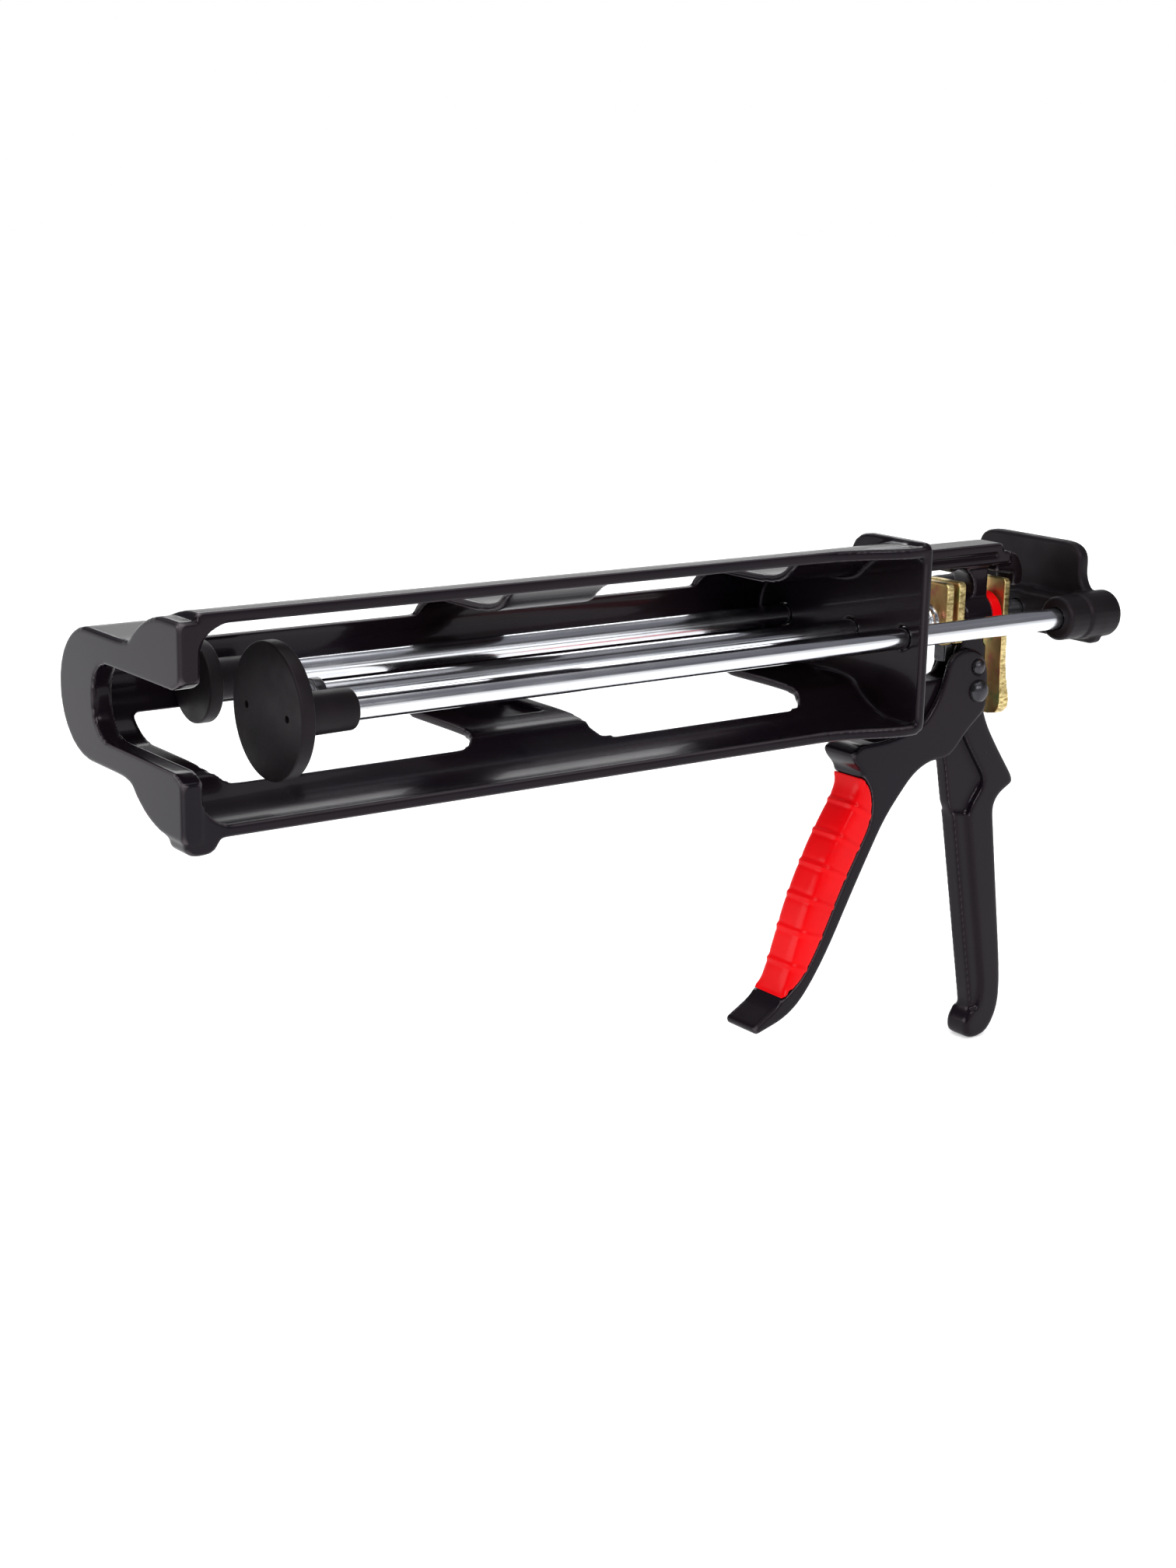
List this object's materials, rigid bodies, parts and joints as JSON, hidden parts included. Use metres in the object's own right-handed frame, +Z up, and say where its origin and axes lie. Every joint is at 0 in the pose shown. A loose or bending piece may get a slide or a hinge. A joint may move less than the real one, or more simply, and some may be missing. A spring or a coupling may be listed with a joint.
{
  "type": "two-cartridge caulking gun",
  "caption": "Hand-operated caulking gun with an open side-by-side cartridge carriage, push rods joined by a rear yoke, a lever trigger and a fixed handle.",
  "frame": {"origin": "on the front face of the bulkhead, at rod height, midway between the drive rod and the small push rod", "axes": "+X along the push rods towards the yoke at the back, +Z up, -Y is the open side that cartridges are loaded from"},
  "size_m": [0.4044, 0.1052, 0.2132],
  "materials": {
    "black_coat": "semi-gloss black powder coat",
    "black_plastic": "satin moulded",
    "red_plastic": "satin moulded",
    "bright_zinc": "bright zinc-plated, drawn",
    "yellow_zinc": "yellow zinc passivate",
    "dark_steel": "black oxide"
  },
  "bodies": {
    "frame": {"carriage_casting": "black_coat", "drive_body_casting": "black_coat", "body_screw_1": "dark_steel", "body_screw_2": "dark_steel", "body_screw_3": "dark_steel", "body_screw_4": "dark_steel", "main_spring": "bright_zinc", "brake_spring_cup": "red_plastic", "brake_spring": "bright_zinc", "pivot_pin": "dark_steel", "pivot_pin_clip": "dark_steel"},
    "rods": {"large_push_rod": "bright_zinc", "drive_rod": "bright_zinc", "small_push_rod": "bright_zinc", "large_piston_disc": "black_plastic", "small_piston_disc": "black_plastic", "drive_rod_stop": "dark_steel", "yoke": "black_plastic", "yoke_screw_large": "dark_steel", "yoke_screw_drive": "dark_steel", "yoke_screw_small": "dark_steel"},
    "grip_plates": {"grip_plate_1": "yellow_zinc", "grip_plate_2": "yellow_zinc", "drive_lug": "dark_steel"},
    "trigger": {"trigger_casting": "black_coat", "trigger_grip_sleeve": "red_plastic", "drive_dog": "dark_steel", "pusher_pin": "dark_steel", "pusher_pin_clip": "dark_steel"},
    "release": {"release_plate": "yellow_zinc"}
  },
  "joints": [
    {"name": "rod_slide", "type": "slide", "parent": "frame", "child": "rods", "axis": [1, 0, 0], "range_m": [-0.011, 0.222]},
    {"name": "trigger_squeeze", "type": "hinge", "parent": "frame", "child": "trigger", "pos_m": [0.0613, -0.019, -0.0287], "axis": [0, -1, 0], "range_deg": [0, 26], "stiffness_Nm_per_rad": 1.5, "springref_deg": -8.59},
    {"name": "plate_slide", "type": "slide", "parent": "frame", "child": "grip_plates", "axis": [-1, 0, 0], "range_m": [0, 0.0062], "deforming": ["main_spring"]},
    {"name": "release_tilt", "type": "hinge", "parent": "frame", "child": "release", "pos_m": [0.0741, -0.019, 0.0146], "axis": [0, 1, 0], "range_deg": [0, 2.8], "stiffness_Nm_per_rad": 0.5, "springref_deg": -2.86, "deforming": ["brake_spring"]}
  ],
  "couplings": [
    {"joint": "plate_slide", "follows": "trigger_squeeze", "m_per_rad": 0.01366}
  ]
}
